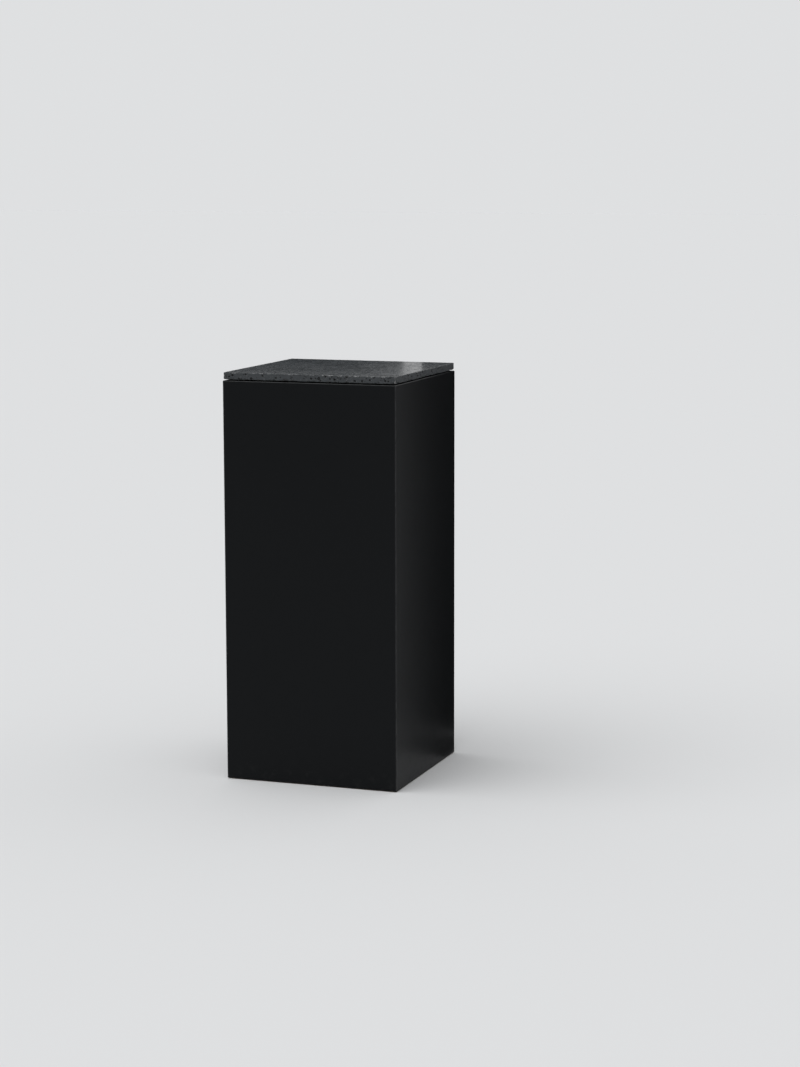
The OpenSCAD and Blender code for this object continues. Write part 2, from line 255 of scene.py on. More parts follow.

# %% [markdown]
# ## Flags
#
# Seen at a low angle, a sealed slab mirrors whatever stands behind it. In a bare studio
# that would be the bright backdrop, and the dark stone would look white. Two tall dark
# flags behind the plinth keep the sheen down, with a gap between them that leaves one
# bright streak on the stone. A low one lies on the floor as painted shade: a dark patch
# where the floor would lie in shade, which keeps the wall beside it from glowing at its
# foot in reflections. A sheen painted on the stone would stay put when the camera moves,
# but what a flag does to a reflection is true from every side. They only show in
# reflections: the camera, the shadows and the soft light from the sky pass through them.

# %% Flags behind the plinth
def flag(name, middle, size, tone):
    """A dark box that is seen only in reflections."""
    data = bpy.data.meshes.new(name)
    shape = bmesh.new()
    bmesh.ops.create_cube(shape, size=1.0)
    for vertex in shape.verts:
        vertex.co = Vector(middle) + Vector(c * s for c, s in zip(vertex.co, size))
    shape.to_mesh(data)
    shape.free()
    thing = add_object(name, data)
    cloth = bpy.data.materials.new(name)
    cloth.use_nodes = True
    glow = put(cloth.node_tree, "ShaderNodeEmission", Color=grey(tone))
    active = {"is_active_output": True}
    put(cloth.node_tree, "ShaderNodeOutputMaterial", active, Surface=glow.outputs[0])
    data.materials.append(cloth)
    thing.visible_camera = False
    thing.visible_shadow = False
    thing.visible_diffuse = False
    thing.visible_transmission = False
    print("flag:", name, "middle, m:", middle)


flag("flag_left", middle=(-0.36, 0.624, 0.62), size=(0.45, 0.45, 1.22), tone=0.012)
flag("flag_right", middle=(0.296, 0.64, 0.57), size=(0.45, 0.45, 1.12), tone=0.012)
# Painted shade: a dark patch on the floor, seen only in reflections.
flag("painted_floor_shade", middle=(0.34, 0.29, 0.002), size=(0.22, 0.25, 0.001), tone=0.05)

# %% [markdown]
# ## Shared effects
#
# Several finishes need the same things: a slow change of tone over the surface, a fine
# grain in relief, a little dust, rubbed edges, and the rings of timber. Each is a node
# group with named inputs, so that one effect is built once and every material sets its own
# values. The groups give back only what changes over the surface; the shader stays outside.

# %% Make a node group
def new_group(name, inputs, outputs):
    """A shader node group: inputs {name: default number, or None for a place}, float outputs."""
    group = bpy.data.node_groups.new(name, "ShaderNodeTree")
    for socket, default in inputs.items():
        kind = "NodeSocketVector" if default is None else "NodeSocketFloat"
        made = group.interface.new_socket(socket, in_out="INPUT", socket_type=kind)
        if default is not None:
            made.default_value = default
    for socket in outputs:
        group.interface.new_socket(socket, in_out="OUTPUT", socket_type="NodeSocketFloat")
    start = group.nodes.new("NodeGroupInput")
    end = group.nodes.new("NodeGroupOutput")
    return group, start.outputs, end.inputs


def object_place(tree):
    """Coordinates that move with the piece, in metres."""
    return put(tree, "ShaderNodeTexCoord").outputs["Object"]


def noise_of(tree, scale, detail=2.0, roughness=0.5, place=None):
    """A noise texture's value, with scale in cells per metre."""
    made = put(
        tree,
        "ShaderNodeTexNoise",
        Vector=place or object_place(tree),
        Scale=scale,
        Detail=detail,
        Roughness=roughness,
    )
    return made.outputs["Fac"]


# %% Clouds and grain
def make_clouds():
    """Slow tone changes: Cloud runs from 0 to 1 over patches of the given Size in metres."""
    group, given, result = new_group("clouds", {"Size": 0.1, "Contrast": 1.0}, ["Cloud"])
    broad = noise_of(group, maths(group, "DIVIDE", 1.0, given["Size"]), detail=4.0, roughness=0.6)
    centred = maths(group, "MULTIPLY", maths(group, "SUBTRACT", broad, 0.5), given["Contrast"])
    plug(group, result["Cloud"], maths(group, "MULTIPLY_ADD", centred, 2.5, 0.5, clamp=True))
    return group


def make_grain():
    """Fine relief: Height in metres for a Bump node, of the given grain Size and Depth."""
    group, given, result = new_group("grain", {"Size": 0.001, "Depth": 0.00005}, ["Height"])
    fine = noise_of(group, maths(group, "DIVIDE", 1.0, given["Size"]), detail=3.0, roughness=0.65)
    plug(group, result["Height"], maths(group, "MULTIPLY", fine, given["Depth"]))
    return group


# %% Dust
def make_dust():
    """Dust: Film is a thin uneven veil, and Specks are single grains."""
    group, given, result = new_group("dust", {"Amount": 1.0, "Speck Size": 0.004}, ["Film", "Specks"])
    veil = smooth_step(group, noise_of(group, 9.0, detail=6.0, roughness=0.7), 0.45, 0.8)
    plug(group, result["Film"], maths(group, "MULTIPLY", veil, given["Amount"]))
    cells = put(
        group,
        "ShaderNodeTexVoronoi",
        Vector=object_place(group),
        Scale=maths(group, "DIVIDE", 1.0, given["Speck Size"]),
    )
    dot = smooth_step(group, cells.outputs["Distance"], 0.05, 0.10, 1.0, 0.0)
    chosen = put(group, "ShaderNodeSeparateColor", Color=cells.outputs["Color"])
    rare = maths(group, "GREATER_THAN", chosen.outputs[0], 0.86)
    speck = maths(group, "MULTIPLY", dot, rare)
    plug(group, result["Specks"], maths(group, "MULTIPLY", speck, given["Amount"]))
    return group


# %% Sand grains
def make_stones():
    """Sand grains in stone: Pale and Dark mark a few of the cells of the given Size in metres."""
    group, given, result = new_group("stones", {"Size": 0.003}, ["Pale", "Dark"])
    cells = put(
        group,
        "ShaderNodeTexVoronoi",
        Vector=object_place(group),
        Scale=maths(group, "DIVIDE", 1.0, given["Size"]),
    )
    grain = smooth_step(group, cells.outputs["Distance"], 0.20, 0.30, 1.0, 0.0)
    kind = put(group, "ShaderNodeSeparateColor", Color=cells.outputs["Color"]).outputs[0]
    is_pale = maths(group, "GREATER_THAN", kind, 0.80)
    is_dark = maths(group, "LESS_THAN", kind, 0.22)
    plug(group, result["Pale"], maths(group, "MULTIPLY", grain, is_pale))
    plug(group, result["Dark"], maths(group, "MULTIPLY", grain, is_dark))
    return group


# %% Rubbed edges
def make_edges():
    """Nearness to the edges of a square box that stands on the floor round the origin.

    Edge is 1 on the edges and fades to 0 over Width; Foot is 1 at the floor and fades over
    Splash. The distance to an upright edge is the larger of the distances to its two
    faces, and the top edge works the same way with the height.
    """
    group, given, result = new_group(
        "box edges",
        {"Half": 0.2, "Height": 1.0, "Width": 0.003, "Splash": 0.05},
        ["Edge", "Foot"],
    )
    part = put(group, "ShaderNodeSeparateXYZ", Vector=object_place(group))
    from_x = maths(group, "SUBTRACT", given["Half"], maths(group, "ABSOLUTE", part.outputs["X"]))
    from_y = maths(group, "SUBTRACT", given["Half"], maths(group, "ABSOLUTE", part.outputs["Y"]))
    from_top = maths(group, "SUBTRACT", given["Height"], part.outputs["Z"])
    upright = maths(group, "MAXIMUM", from_x, from_y)
    rim = maths(group, "MAXIMUM", maths(group, "MINIMUM", from_x, from_y), from_top)
    nearest = maths(group, "DIVIDE", maths(group, "MINIMUM", upright, rim), given["Width"])
    plug(group, result["Edge"], smooth_step(group, nearest, 0.0, 1.0, 1.0, 0.0))
    rise = maths(group, "DIVIDE", part.outputs["Z"], given["Splash"])
    plug(group, result["Foot"], smooth_step(group, rise, 0.0, 1.0, 1.0, 0.0))
    return group


# %% Timber
def make_timber():
    """Softwood with its grain along Z of Place: Ring is the dark late wood, Fibre fine streaks."""
    group, given, result = new_group(
        "timber",
        {"Place": None, "Ring Size": 0.004, "Wander": 0.006},
        ["Ring", "Fibre"],
    )
    stretched = put(
        group,
        "ShaderNodeMapping",
        Vector=given["Place"],
        Scale=(1.0, 1.0, 0.06),
    ).outputs[0]
    drift = put(group, "ShaderNodeTexNoise", Vector=stretched, Scale=14.0, Detail=2.0)
    shift = put(group, "ShaderNodeVectorMath", {"operation": "SCALE"})
    plug(group, shift.inputs[0], drift.outputs["Color"])
    plug(group, shift.inputs["Scale"], given["Wander"])
    moved = put(group, "ShaderNodeVectorMath", {"operation": "ADD"})
    plug(group, moved.inputs[0], stretched)
    plug(group, moved.inputs[1], shift.outputs[0])
    part = put(group, "ShaderNodeSeparateXYZ", Vector=moved.outputs[0])
    pith_x = maths(group, "ADD", part.outputs["X"], 0.043)
    pith_y = maths(group, "ADD", part.outputs["Y"], 0.061)
    squares = maths(group, "MULTIPLY_ADD", pith_x, pith_x, maths(group, "MULTIPLY", pith_y, pith_y))
    rings = maths(group, "DIVIDE", maths(group, "SQRT", squares), given["Ring Size"])
    phase = maths(group, "FRACT", rings)
    late = smooth_step(group, phase, 0.45, 0.93)
    fall = smooth_step(group, phase, 0.95, 1.0, 1.0, 0.0)
    plug(group, result["Ring"], maths(group, "MULTIPLY", late, fall))
    streaks = put(
        group,
        "ShaderNodeMapping",
        Vector=given["Place"],
        Scale=(1.0, 1.0, 0.02),
    ).outputs[0]
    plug(group, result["Fibre"], noise_of(group, 1400.0, detail=3.0, roughness=0.6, place=streaks))
    return group


# %% Build each group once
GROUPS = {
    "clouds": make_clouds(),
    "grain": make_grain(),
    "dust": make_dust(),
    "stones": make_stones(),
    "edges": make_edges(),
    "timber": make_timber(),
}


def use_group(tree, name, **inputs):
    """Places a shared group in a material and fills its inputs."""
    return put(tree, "ShaderNodeGroup", {"node_tree": GROUPS[name]}, **inputs).outputs


def mix_value(tree, factor, first, second):
    """A number between first and second."""
    made = put(tree, "ShaderNodeMix", {"data_type": "FLOAT"})
    for index, value in ((0, factor), (2, first), (3, second)):
        plug(tree, made.inputs[index], value)
    return made.outputs[0]


print("groups:", sorted(GROUPS))

# %% [markdown]
# ## Lacquer
#
# The box is sprayed with a deep matt black lacquer. Up close it has the faint pebble of a
# sprayed film, and hands and cloths leave patches that shine a little more or less. The
# edges are rubbed smoother, and their colour is painted lighter: partly the grey of worn
# lacquer, partly a painted highlight for the thin light line along the top edge. Painted
# lines alone would be light in the dark too, so a coat that is only there along the edges
# also makes them catch real light as thin lines. A matt lacquer reflects far less than a
# plastic, so the specular level is low; it is the same all over, and so it is set once on
# the shader.

# %% Lacquer material
def new_material(name):
    """A material with a Principled BSDF, its tree and that shader."""
    made = bpy.data.materials.new(name)
    made.use_nodes = True
    print("material:", name)
    return made, made.node_tree, made.node_tree.nodes["Principled BSDF"]


def dress(tree, shader, colour, roughness, relief):
    """Gives the shader what changes over the surface; relief is a height in metres."""
    raised = put(tree, "ShaderNodeBump", Height=relief, Strength=1.0, Distance=1.0)
    plug(tree, shader.inputs["Base Color"], colour)
    plug(tree, shader.inputs["Roughness"], roughness)
    plug(tree, shader.inputs["Normal"], raised.outputs["Normal"])


BODY_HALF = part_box("front_panel")[1].x
BODY_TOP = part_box("front_panel")[1].z


def make_lacquer():
    """Matt black spray lacquer, rubbed edges painted lighter as a highlight, scuffed at the floor."""
    made, tree, shader = new_material("matt black lacquer")
    cloud = use_group(tree, "clouds", Size=0.30, Contrast=0.6)["Cloud"]
    dust = use_group(tree, "dust", Amount=1.0, Speck_Size=0.006)
    edges = use_group(tree, "edges", Half=BODY_HALF, Height=BODY_TOP, Width=0.0032, Splash=0.07)
    uneven = smooth_step(tree, noise_of(tree, 60.0, 4.0), 0.3, 0.7, 0.45, 1.0)
    rubbed_edge_and_highlight = maths(tree, "MULTIPLY", edges["Edge"], uneven)
    spray = use_group(tree, "grain", Size=0.0011, Depth=0.000012)["Height"]
    tone = blend_colour(tree, cloud, (0.0064, 0.0073, 0.0083, 1), (0.0078, 0.0087, 0.0098, 1))
    # Rubbed edges painted lighter: partly worn lacquer, partly a painted highlight.
    tone = blend_colour(tree, maths(tree, "MULTIPLY", rubbed_edge_and_highlight, 0.8), tone, (0.030, 0.032, 0.034, 1))
    kicked = smooth_step(tree, noise_of(tree, 45.0, 6.0, 0.7), 0.5, 0.72)
    scuffs = maths(tree, "MULTIPLY", edges["Foot"], kicked)
    tone = blend_colour(tree, maths(tree, "MULTIPLY", scuffs, 0.25), tone, grey(0.05))
    tone = blend_colour(tree, maths(tree, "MULTIPLY", dust["Specks"], 0.25), tone, grey(0.12))
    rough = maths(tree, "MULTIPLY_ADD", cloud, 0.035, 0.36)
    rough = maths(tree, "MULTIPLY_ADD", dust["Film"], 0.04, rough)
    rough = maths(tree, "MULTIPLY_ADD", scuffs, 0.15, rough)
    dress(tree, shader, tone, mix_value(tree, rubbed_edge_and_highlight, rough, 0.26), spray)
    plug(tree, shader.inputs["Coat Weight"], maths(tree, "MULTIPLY", rubbed_edge_and_highlight, 0.5))
    shader.inputs["Coat Roughness"].default_value = 0.24
    shader.inputs["Specular IOR Level"].default_value = 0.115
    return made


LACQUER = make_lacquer()

# %% [markdown]
# ## Fibreboard
#
# Inside, the walls are bare: brown fibreboard with fine felted fibres, darkened where the
# spray drifted over the edges. The deck is board that is dyed black all through, and only
# its edges are seen, in the shadow under the slab. Both have the same make-up, so one
# function makes both, with colours of their own and with spray or without.

# %% Fibreboard materials
def make_fibreboard(name, light, dark, fleck, overspray):
    """Felted wood fibres, with the spray's mist near the edges of the box."""
    made, tree, shader = new_material(name)
    cloud = use_group(tree, "clouds", Size=0.05, Contrast=1.0)["Cloud"]
    fibres = noise_of(tree, 700.0, detail=5.0, roughness=0.75)
    tone = blend_colour(tree, cloud, dark, light)
    tone = blend_colour(tree, smooth_step(tree, fibres, 0.5, 0.72), tone, fleck)
    edges = use_group(tree, "edges", Half=BODY_HALF, Height=BODY_TOP, Width=0.05, Splash=0.06)
    mist = maths(tree, "MAXIMUM", edges["Foot"], edges["Edge"])
    patchy = maths(tree, "MULTIPLY", mist, smooth_step(tree, fibres, 0.3, 0.6, 0.6, 1.0))
    tone = blend_colour(tree, maths(tree, "MULTIPLY", patchy, overspray), tone, grey(0.014))
    felt = use_group(tree, "grain", Size=0.0006, Depth=0.00006)["Height"]
    dress(tree, shader, tone, maths(tree, "MULTIPLY_ADD", cloud, 0.08, 0.80), felt)
    shader.inputs["Specular IOR Level"].default_value = 0.25
    return made


BARE_BOARD = make_fibreboard(
    "bare fibreboard",
    light=(0.33, 0.215, 0.125, 1),
    dark=(0.245, 0.155, 0.088, 1),
    fleck=(0.42, 0.30, 0.19, 1),
    overspray=0.9,
)
BLACK_BOARD = make_fibreboard(
    "black dyed fibreboard",
    light=(0.018, 0.019, 0.021, 1),
    dark=(0.012, 0.0125, 0.014, 1),
    fleck=(0.045, 0.046, 0.048, 1),
    overspray=0.0,
)

# %% [markdown]
# ## Timber and plywood
#
# The battens and posts are planed pine, and their grain runs along their length. Rings
# in real timber are cylinders round the pith, so the texture works out a distance from an
# axis beside the piece. A flat picture of wood could not follow the grain round a corner,
# but this shows long streaks on the sides and arcs on the sawn ends without any mapping.
# Plywood is thin birch sheets, laid crosswise, so its edges are striped.

# %% Pine, one material for each direction of grain
def along(tree, axis):
    """The piece's coordinates, turned so that the grain's axis is Z."""
    part = put(tree, "ShaderNodeSeparateXYZ", Vector=object_place(tree)).outputs
    first, second, third = {"x": "YZX", "y": "ZXY", "z": "XYZ"}[axis]
    turned = put(tree, "ShaderNodeCombineXYZ", X=part[first], Y=part[second], Z=part[third])
    return turned.outputs[0]


def make_pine(axis):
    """Planed pine whose grain runs along the axis x, y or z."""
    made, tree, shader = new_material("planed pine " + axis)
    wood = use_group(tree, "timber", Place=along(tree, axis), Ring_Size=0.0036, Wander=0.012)
    cloud = use_group(tree, "clouds", Size=0.12, Contrast=0.9)["Cloud"]
    tone = blend_colour(tree, cloud, (0.56, 0.37, 0.19, 1), (0.66, 0.46, 0.25, 1))
    late_wood = maths(tree, "MULTIPLY", wood["Ring"], 0.75)
    tone = blend_colour(tree, late_wood, tone, (0.40, 0.20, 0.075, 1))
    streak = smooth_step(tree, wood["Fibre"], 0.5, 0.8, 0.0, 0.3)
    tone = blend_colour(tree, streak, tone, (0.35, 0.21, 0.10, 1))
    relief = maths(tree, "MULTIPLY", maths(tree, "ADD", wood["Ring"], wood["Fibre"]), 0.00006)
    dress(tree, shader, tone, maths(tree, "MULTIPLY_ADD", wood["Ring"], -0.12, 0.62), relief)
    return made


PINE = {axis: make_pine(axis) for axis in "xyz"}

# %% Birch plywood
VENEER = 1.4 * MM


def upness(tree):
    """How far the face points up: 1 on a top, 0 on a side, -1 on an underside."""
    normal = put(tree, "ShaderNodeTexCoord").outputs["Normal"]
    return put(tree, "ShaderNodeSeparateXYZ", Vector=normal).outputs["Z"]


def make_ply():
    """Birch veneers laid flat, with their striped edges on the sides."""
    made, tree, shader = new_material("birch plywood")
    height = put(tree, "ShaderNodeSeparateXYZ", Vector=object_place(tree)).outputs["Z"]
    wavy = maths(tree, "MULTIPLY_ADD", noise_of(tree, 30.0), 0.0004, height)
    layer = maths(tree, "PINGPONG", wavy, VENEER)
    stripe = smooth_step(tree, layer, VENEER * 0.42, VENEER * 0.58)
    edge = smooth_step(tree, maths(tree, "ABSOLUTE", upness(tree)), 0.3, 0.7, 1.0, 0.0)
    wood = use_group(tree, "timber", Place=along(tree, "x"), Ring_Size=0.011, Wander=0.05)
    cloud = use_group(tree, "clouds", Size=0.06, Contrast=0.8)["Cloud"]
    tone = blend_colour(tree, cloud, (0.62, 0.46, 0.29, 1), (0.71, 0.56, 0.38, 1))
    late_wood = maths(tree, "MULTIPLY", wood["Ring"], 0.3)
    tone = blend_colour(tree, late_wood, tone, (0.50, 0.34, 0.19, 1))
    streak = smooth_step(tree, wood["Fibre"], 0.5, 0.8, 0.0, 0.3)
    tone = blend_colour(tree, streak, tone, (0.42, 0.28, 0.16, 1))
    striped = maths(tree, "MULTIPLY", maths(tree, "MULTIPLY", stripe, edge), 0.75)
    tone = blend_colour(tree, striped, tone, (0.27, 0.15, 0.07, 1))
    sunk = maths(tree, "MULTIPLY", striped, -0.00008)
    relief = maths(tree, "MULTIPLY_ADD", wood["Fibre"], 0.00004, sunk)
    dress(tree, shader, tone, maths(tree, "MULTIPLY_ADD", striped, 0.25, 0.5), relief)
    return made


PLY = make_ply()

# %% [markdown]
# ## Metals, rubber and nylon
#
# The nuts, studs and pins are steel with a thin zinc plating, a little blotchy and duller
# than chrome. The screws have the same plating with a yellow passivation, which drifts
# from straw to a faint green and pink. The discs, pads and cups are moulded, and keep the
# fine spark-eroded texture of their moulds. Such small pieces could each be one flat
# colour, but two slow clouds of different sizes keep them from looking like plastic toys.

# %% Plated steel
def make_plated(name, first, second, third, roughness):
    """Steel with a thin plating that drifts between three tones."""
    made, tree, shader = new_material(name)
    cloud = use_group(tree, "clouds", Size=0.004, Contrast=1.3)["Cloud"]
    drift = use_group(tree, "clouds", Size=0.011, Contrast=1.3)["Cloud"]
    tone = blend_colour(tree, cloud, first, second)
    tone = blend_colour(tree, maths(tree, "MULTIPLY", drift, 0.6), tone, third)
    etched = use_group(tree, "grain", Size=0.0005, Depth=0.000008)["Height"]
    dress(tree, shader, tone, maths(tree, "MULTIPLY_ADD", cloud, 0.14, roughness), etched)
    shader.inputs["Metallic"].default_value = 1.0
    return made


ZINC = make_plated(
    "zinc plated steel",
    first=(0.52, 0.54, 0.57, 1),
    second=(0.66, 0.68, 0.70, 1),
    third=(0.50, 0.53, 0.60, 1),
    roughness=0.30,
)
YELLOW_ZINC = make_plated(
    "yellow zinc steel",
    first=(0.70, 0.52, 0.22, 1),
    second=(0.80, 0.66, 0.34, 1),
    third=(0.66, 0.50, 0.36, 1),
    roughness=0.26,
)


# %% Moulded rubber and nylon
def make_moulded(name, low, high, roughness, texture, dusting):
    """Moulded rubber or nylon with the mould's texture, of the given depth, and dust."""
    made, tree, shader = new_material(name)
    cloud = use_group(tree, "clouds", Size=0.015, Contrast=0.8)["Cloud"]
    dust = use_group(tree, "dust", Amount=dusting, Speck_Size=0.0025)
    tone = blend_colour(tree, cloud, low, high)
    speckled = maths(tree, "MULTIPLY", dust["Specks"], 0.5)
    veiled = maths(tree, "MULTIPLY_ADD", dust["Film"], 0.10, speckled)
    tone = blend_colour(tree, veiled, tone, (0.32, 0.30, 0.27, 1))
    skin = use_group(tree, "grain", Size=0.0004, Depth=texture)["Height"]
    dress(tree, shader, tone, maths(tree, "MULTIPLY_ADD", cloud, 0.08, roughness), skin)
    return made


RUBBER = make_moulded(
    "black rubber",
    low=grey(0.016),
    high=grey(0.024),
    roughness=0.78,
    texture=0.00003,
    dusting=1.0,
)
BLACK_NYLON = make_moulded(
    "black nylon",
    low=grey(0.022),
    high=grey(0.03),
    roughness=0.42,
    texture=0.000015,
    dusting=0.8,
)
WHITE_NYLON = make_moulded(
    "white nylon",
    low=(0.70, 0.68, 0.62, 1),
    high=(0.78, 0.76, 0.71, 1),
    roughness=0.36,
    texture=0.000012,
    dusting=0.2,
)

# %% [markdown]
# ## Dark concrete
#
# The slab is cast face down in a mould, with black pigment in the mix. Its top is honed and
# sealed, so it has a satin sheen, with duller spots that the polish missed, and fine open
# pores. Its edges keep the skin of the mould, rough and dull. They could be two materials
# with a seam at the arris. Here they are one, and the way that a face points tells it
# which it is, so the change follows every chip. Two attributes on the mesh carry painted
# light. The first marks where the arris is broken or worn, which shows pale fresh stone
# made paler still as a painted highlight, with a faint painted highlight round each air
# hole. The second marks the inside of the air holes and pits, which is painted dark as shade.

# %% Concrete material
def make_concrete():
    """Black pigmented concrete, honed where it faces up and rough elsewhere."""
    made, tree, shader = new_material("dark cast concrete")
    honed = smooth_step(tree, upness(tree), 0.80, 0.97)
    pale_chips_and_highlight = put(tree, "ShaderNodeAttribute", {"attribute_name": "pale_chips_and_highlight"}).outputs["Fac"]
    hole_shade = put(tree, "ShaderNodeAttribute", {"attribute_name": "hole_shade"}).outputs["Fac"]
    cloud = use_group(tree, "clouds", Size=0.07, Contrast=1.0)["Cloud"]
    bleed = use_group(tree, "clouds", Size=0.012, Contrast=1.2)["Cloud"]
    sand = noise_of(tree, 620.0, detail=4.0, roughness=0.75)
    stones = use_group(tree, "stones", Size=0.0032)
    tone = blend_colour(tree, cloud, (0.041, 0.047, 0.052, 1), (0.053, 0.0605, 0.067, 1))
    tone = blend_colour(tree, maths(tree, "MULTIPLY", bleed, 0.3), tone, (0.076, 0.084, 0.092, 1))
    pale = maths(tree, "MULTIPLY", stones["Pale"], mix_value(tree, honed, 0.75, 0.35))
    tone = blend_colour(tree, pale, tone, grey(0.21))
    dark = maths(tree, "MULTIPLY", stones["Dark"], mix_value(tree, honed, 0.7, 0.4))
    tone = blend_colour(tree, dark, tone, grey(0.012))
    tone = blend_colour(tree, smooth_step(tree, sand, 0.52, 0.72, 0.0, 0.55), tone, grey(0.12))
    tone = blend_colour(tree, smooth_step(tree, sand, 0.44, 0.30, 0.0, 0.65), tone, grey(0.014))
    # Broken arris and worn corners: pale fresh stone, lightened further as a painted highlight.
    tone = blend_colour(tree, maths(tree, "MULTIPLY", pale_chips_and_highlight, 0.9), tone, grey(0.60))
    # Painted shade inside the air holes and pits.
    tone = blend_colour(tree, maths(tree, "MULTIPLY", hole_shade, 0.8), tone, grey(0.010))
    missed = smooth_step(tree, noise_of(tree, 130.0, 2.0), 0.50, 0.66)
    satin = maths(tree, "MULTIPLY_ADD", cloud, 0.07, 0.19)
    satin = maths(tree, "MULTIPLY_ADD", missed, 0.18, satin)
    satin = maths(tree, "MULTIPLY_ADD", smooth_step(tree, sand, 0.45, 0.75), 0.10, satin)
    damage = maths(tree, "MAXIMUM", pale_chips_and_highlight, hole_shade)
    matt = mix_value(tree, damage, 0.70, 0.92)
    polish = maths(tree, "MULTIPLY", honed, maths(tree, "SUBTRACT", 1.0, damage))
    pores = put(tree, "ShaderNodeTexVoronoi", Vector=object_place(tree), Scale=420.0)
    pore_depth = smooth_step(tree, pores.outputs["Distance"], 0.06, 0.20, -0.00010, 0.0)
    swell = maths(tree, "MULTIPLY", noise_of(tree, 18.0, 1.0), 0.00012)
    rough_skin = use_group(tree, "grain", Size=0.0013, Depth=0.00030)["Height"]
    skin = maths(tree, "MULTIPLY", rough_skin, mix_value(tree, honed, 1.0, 0.07))
    relief = maths(tree, "ADD", maths(tree, "ADD", skin, pore_depth), swell)
    dress(tree, shader, tone, mix_value(tree, polish, matt, satin), relief)
    return made


CONCRETE = make_concrete()

# %% [markdown]
# ## The slab's edge
#
# The casting's edge is what the eye goes to, so it is real geometry: air holes, a broken
# arris and a slightly wavy face, all cut into a fine grid that runs round the slab. A
# displacement modifier could push a grid about too, but it can't be told where a chip is.
# Here each hole or chip is a ball that bites into the stone. A ball on the face leaves a
# bowl, and a ball outside the arris leaves the shell-shaped scar of a broken edge. Every
# point of the grid inside a ball moves straight in until it is out of it, so the slab
# never grows beyond its place in the frame.

# %% Outline of the slab
SLAB_STEP = 0.9 * MM
CORNER_R = 3.0 * MM
CORNER_STEPS = 7
slab_low, slab_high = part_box("top_slab")
slab_half = slab_high.x
slab_top, slab_bottom = slab_high.z, slab_low.z


def rounded_square(half, straight_steps):
    """Points round a square with round corners, and the outward normal at each."""
    flat = half - CORNER_R
    found, facing = [], []
    for quarter in range(4):
        turn = quarter * math.pi / 2
        c, s = math.cos(turn), math.sin(turn)
        for i in range(straight_steps):
            x, y = -flat + 2 * flat * i / straight_steps, -half
            found.append((c * x - s * y, s * x + c * y))
            facing.append((s, -c))
        for i in range(CORNER_STEPS):
            a = turn - math.pi / 2 + math.pi / 2 * i / CORNER_STEPS
            centre_x, centre_y = c * flat + s * flat, s * flat - c * flat
            found.append((centre_x + CORNER_R * math.cos(a), centre_y + CORNER_R * math.sin(a)))
            facing.append((math.cos(a), math.sin(a)))
    return np.array(found), np.array(facing)


straight_steps = int(2 * (slab_half - CORNER_R) / SLAB_STEP)
outline, outward = rounded_square(slab_half, straight_steps)
columns = len(outline)
print("slab outline:", columns, "points")

# %% Section of the slab's edge
BAND = 12 * MM
ARRIS_R = 0.9 * MM
ARRIS_STEPS = 4
TOP_INSETS = (12, 8.5, 6.2, 4.7, 3.7, 2.9, 2.2, 1.5)
LOW_INSETS = (1.5, 2.3, 3.2, 4.4, 6.0)
side_steps = int((slab_top - slab_bottom - 2 * ARRIS_R) / SLAB_STEP)


def edge_section():
    """Rows (inset, height, normal outward, normal up) from the top face to the underside."""
    found = [(inset * MM, slab_top, 0.0, 1.0) for inset in TOP_INSETS]
    for i in range(ARRIS_STEPS + 1):
        a = math.pi / 2 * (1 - i / ARRIS_STEPS)
        inset, drop = ARRIS_R * (1 - math.cos(a)), ARRIS_R * (1 - math.sin(a))
        found.append((inset, slab_top - drop, math.cos(a), math.sin(a)))
    side = slab_top - slab_bottom - 2 * ARRIS_R
    for i in range(1, side_steps):
        found.append((0.0, slab_top - ARRIS_R - side * i / side_steps, 1.0, 0.0))
    for i in range(ARRIS_STEPS + 1):
        a = math.pi / 2 * i / ARRIS_STEPS
        inset, rise = ARRIS_R * (1 - math.cos(a)), ARRIS_R * (1 - math.sin(a))
        found.append((inset, slab_bottom + rise, math.cos(a), -math.sin(a)))
    return found + [(inset * MM, slab_bottom, 0.0, -1.0) for inset in LOW_INSETS]


section = edge_section()
inner, _ = rounded_square(slab_half - BAND, straight_steps)
rows = len(section)
place = np.zeros((rows, columns, 3))
normal = np.zeros((rows, columns, 3))
for r, (inset, z, out, up) in enumerate(section):
    place[r, :, :2] = outline * (1 - inset / BAND) + inner * inset / BAND
    place[r, :, 2] = z
    normal[r, :, :2] = outward * out
    normal[r, :, 2] = up
points = place.reshape(-1, 3)
normals = normal.reshape(-1, 3)
print("slab edge grid:", rows, "x", columns)

# %% Waves in the mould's face
BROAD_WAVE = 0.12 * MM
MEDIUM_WAVE = 0.09 * MM
FINE_WAVE = 0.06 * MM
TALLER_THAN_WIDE = np.array([1.0, 1.0, 0.4])
FACES_UP_OR_DOWN = 0.9
rng = np.random.default_rng(5)


def noise_at(where, size, seed):
    """Smooth noise from about -1 to 1 at each point, with features of the given size."""
    shift = Vector((seed * 7.3, seed * 3.1, seed * 5.7))
    return np.array([noise.noise(Vector(p) / size + shift) for p in where])


broad = noise_at(points * TALLER_THAN_WIDE, size=22 * MM, seed=1)
medium = noise_at(points, size=3.4 * MM, seed=2)
fine = noise_at(points, size=1.5 * MM, seed=3)
depth = BROAD_WAVE * (1 + broad) + MEDIUM_WAVE * (1 + medium) + FINE_WAVE * (1 + fine)
depth[np.abs(normals[:, 2]) > FACES_UP_OR_DOWN] = 0.0
print("waves, deepest, mm:", round(float(depth.max()) / MM, 2))

# %% A ball that bites into the edge
# A faint painted highlight on the ring round each air hole.
HOLE_RIM_HIGHLIGHT = 0.03
RIM_REACH = 1.35
FULL_TONE_DEPTH = 0.45 * MM
pale_chips_and_highlight = np.zeros(len(points))
hole_shade = np.zeros(len(points))


